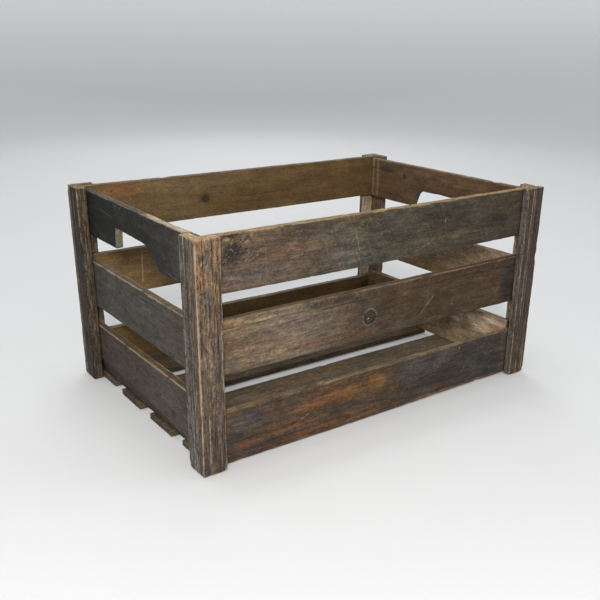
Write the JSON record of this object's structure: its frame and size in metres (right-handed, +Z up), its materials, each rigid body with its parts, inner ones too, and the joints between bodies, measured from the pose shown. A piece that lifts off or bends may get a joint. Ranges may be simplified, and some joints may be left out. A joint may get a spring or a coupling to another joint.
{
  "type": "wooden apple crate",
  "caption": "Open-topped slatted wooden fruit crate: boards nailed between upright corner battens, gaps between the slats and a sawn hand-hold at each end.",
  "frame": {"origin": "centre of the footprint, at the feet of the corner battens", "axes": "+X along the long side, towards the right-hand end; +Y across the crate, towards the back; +Z up; the front long side faces -Y"},
  "size_m": [0.488, 0.328, 0.25],
  "materials": {
    "front_slat": "rough-sawn pine, dark stained and weathered, worn along the top edges",
    "back_slat": "sawn pine, dark stained, warmer and less weathered on the inside",
    "left_end_slat": "rough-sawn pine, grey weathered, charcoal on the top slat",
    "right_end_slat": "sawn pine, dark stained, scuffed inside",
    "floor_board": "rough-sawn pine, grey-brown",
    "long_batten": "rough-sawn pine, strong upright grain, arrises worn pale",
    "end_batten": "rough-sawn pine, strong upright grain, grey weathered",
    "nail": "rusted steel wire nail"
  },
  "bodies": {
    "root": {"front_slat_top": "front_slat", "front_slat_middle": "front_slat", "front_slat_bottom": "front_slat", "back_slat_top": "back_slat", "back_slat_middle": "back_slat", "back_slat_bottom": "back_slat", "left_end_slat_top": "left_end_slat", "left_end_slat_middle": "left_end_slat", "left_end_slat_bottom": "left_end_slat", "right_end_slat_top": "right_end_slat", "right_end_slat_middle": "right_end_slat", "right_end_slat_bottom": "right_end_slat", "floor_board_1": "floor_board", "floor_board_2": "floor_board", "floor_board_3": "floor_board", "floor_board_4": "floor_board", "front_batten_left": "long_batten", "front_batten_right": "long_batten", "back_batten_left": "long_batten", "back_batten_right": "long_batten", "left_end_batten_front": "end_batten", "left_end_batten_back": "end_batten", "right_end_batten_front": "end_batten", "right_end_batten_back": "end_batten", "nail_front_left_top": "nail", "nail_left_end_front_top": "nail", "nail_front_left_middle": "nail", "nail_left_end_front_middle": "nail", "nail_front_left_bottom": "nail", "nail_left_end_front_bottom": "nail", "nail_lap_front_left": "nail", "nail_front_right_top": "nail", "nail_right_end_front_top": "nail", "nail_front_right_middle": "nail", "nail_right_end_front_middle": "nail", "nail_front_right_bottom": "nail", "nail_right_end_front_bottom": "nail", "nail_lap_front_right": "nail", "nail_back_left_top": "nail", "nail_left_end_back_top": "nail", "nail_back_left_middle": "nail", "nail_left_end_back_middle": "nail", "nail_back_left_bottom": "nail", "nail_left_end_back_bottom": "nail", "nail_lap_back_left": "nail", "nail_back_right_top": "nail", "nail_right_end_back_top": "nail", "nail_back_right_middle": "nail", "nail_right_end_back_middle": "nail", "nail_back_right_bottom": "nail", "nail_right_end_back_bottom": "nail", "nail_lap_back_right": "nail", "nail_floor_left_1": "nail", "nail_floor_right_1": "nail", "nail_floor_left_2": "nail", "nail_floor_right_2": "nail", "nail_floor_left_3": "nail", "nail_floor_right_3": "nail", "nail_floor_left_4": "nail", "nail_floor_right_4": "nail"}
  },
  "joints": []
}
